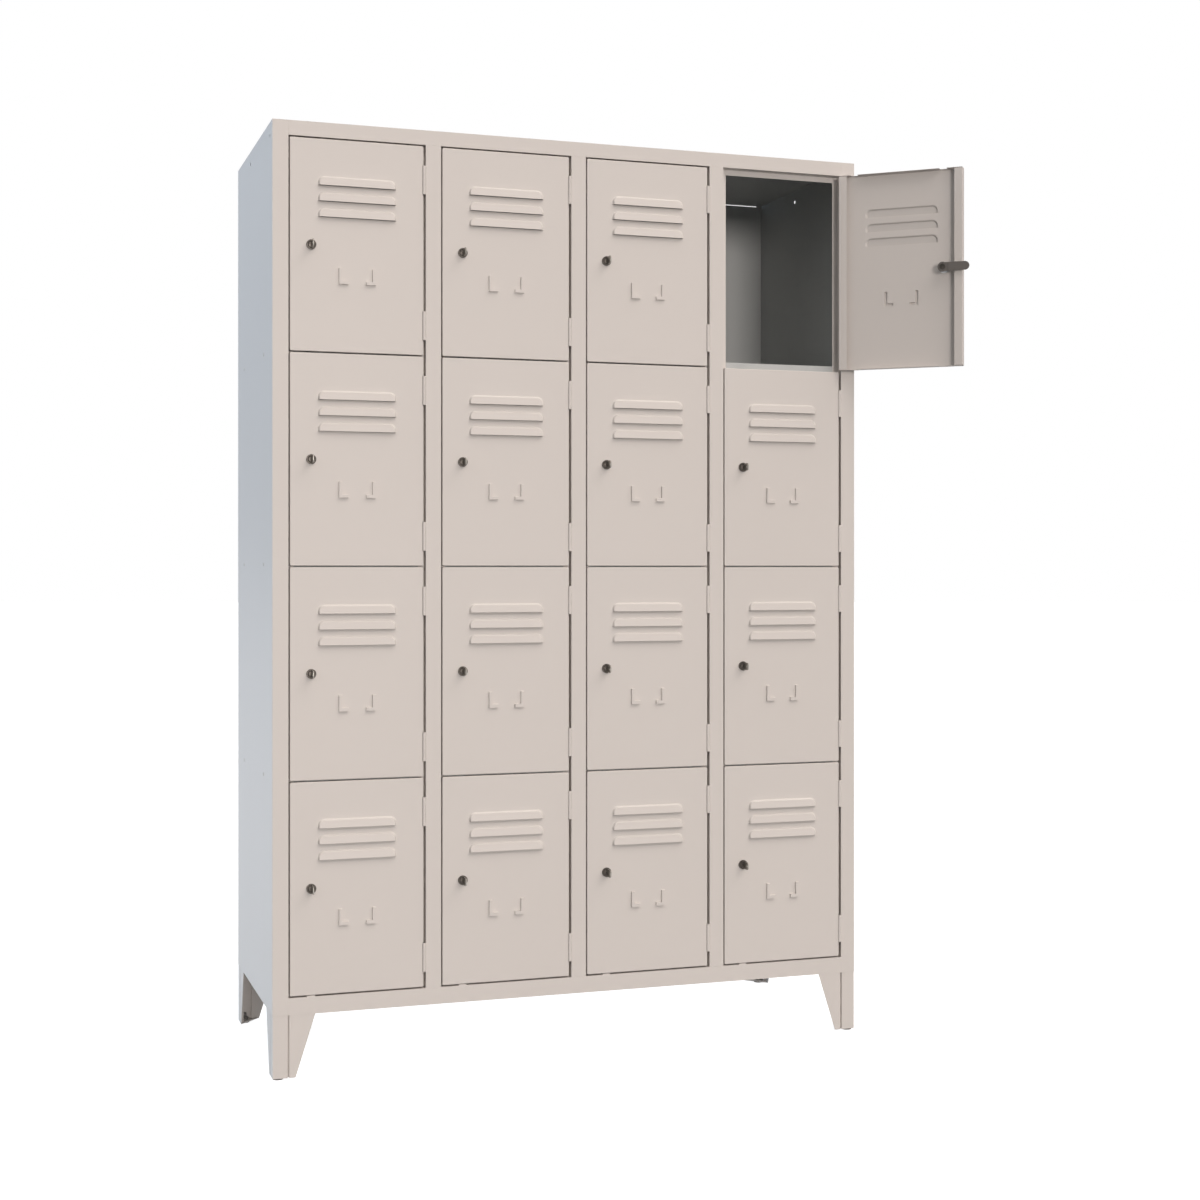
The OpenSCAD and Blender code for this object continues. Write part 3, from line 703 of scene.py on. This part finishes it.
def coat_with_painted_inner_shade(name, outer_hex, shaded_hex):
    """Powder coat outside, and a darker, cooler copy of it as painted shade on whatever lies inside the
    box.
    """
    made = powder_coat(name, outer_hex)
    tree = made.node_tree
    tone_node = tree.nodes["Principled BSDF"].inputs["Base Color"].links[0].from_node
    place = add(tree, "ShaderNodeTexCoord").outputs["Object"]
    mix = add(tree, "ShaderNodeMix", {"Factor": inner_box(tree, place)}, data_type="RGBA")
    mix.inputs["A"].default_value = linear(outer_hex)
    mix.inputs["B"].default_value = linear(shaded_hex)
    tree.links.new(mix.outputs["Result"], tone_node.inputs[0])
    return made


# Pale and warm on every outer face, and painted shade, cooler and darker, on the faces that look into a
# compartment.
cabinet_paint = coat_with_painted_inner_shade("powder_coat_painted_inner_shade", FRONT_GREY, SHADED_GREY)


def paint(node_name, material, edge=0.3 * MM):
    """Gives a CAD node its material and breaks its sharp edges, once its corners are welded."""
    made = frame["nodes"][node_name]
    made.data.materials.clear()
    made.data.materials.append(material)
    made.modifiers.new("weld", "WELD").merge_threshold = 2e-6
    soft = made.modifiers.new("edge", "BEVEL")
    soft.width, soft.segments, soft.limit_method, soft.angle_limit = edge, 2, "ANGLE", math.radians(50)
    made.modifiers.new("normals", "WEIGHTED_NORMAL").keep_sharp = True


for name in ("left_side", "right_side", "partitions", "roof", "floor_pan", "back_panel"):
    paint(name, cabinet_paint)
for name in ("rivets", "legs"):
    paint(name, front_paint)
# The shelves take the painted shade grey all over.
paint("shelves", shaded_inner_paint)
paint("hinge_pins", zinc_steel, 0.2 * MM)
# Moulded nylon with a fine spark-eroded texture, too fine to draw: flat, dark and without gloss.
nylon, _, _ = new_material("grey_nylon", Base_Color=linear("#6f6c69"), Roughness=0.6)
paint("glides", nylon)
print("painted", sum(n.modifiers.get("weld") is not None for n in frame["nodes"].values()), "nodes")

# %% [markdown]
# ## The floor
# A studio floor is white paper, lit until it has no tone left. So it glows a little by itself,
# which hides the cabinet's shadow. The paint's gloss sees the floor, but its matt part
# doesn't: the light from below comes from the world's dim fill, which is easier to set. The
# floor belongs to the studio, not to the object.

# %% The studio floor
def flat_square(name, reach, z):
    """A level square, its corners at (±reach, ±reach, z)."""
    mesh = bpy.data.meshes.new(name)
    corners = [(-reach, -reach, z), (reach, -reach, z), (reach, reach, z), (-reach, reach, z)]
    mesh.from_pydata(corners, [], [(0, 1, 2, 3)])
    made = bpy.data.objects.new(name, mesh)
    bpy.context.scene.collection.objects.link(made)
    return made


# White paper, fully matt: the glow lifts it to pure white for the camera.
floor_paint, tree, shader = new_material(
    "studio_white", Base_Color=(0.5, 0.5, 0.5, 1), Roughness=1.0, Emission_Color=(1, 1, 1, 1)
)
seen = add(tree, "ShaderNodeLightPath").outputs["Is Camera Ray"]
glow = add(tree, "ShaderNodeMapRange", {"Value": seen}, To_Min=0.9, To_Max=0.92)
tree.links.new(glow.outputs["Result"], shader.inputs["Emission Strength"])
floor = flat_square("floor", 60, 0)
floor.data.materials.append(floor_paint)
floor.visible_diffuse = False
print("floor", floor.name)

# %% Finish
bpy.context.view_layer.update()
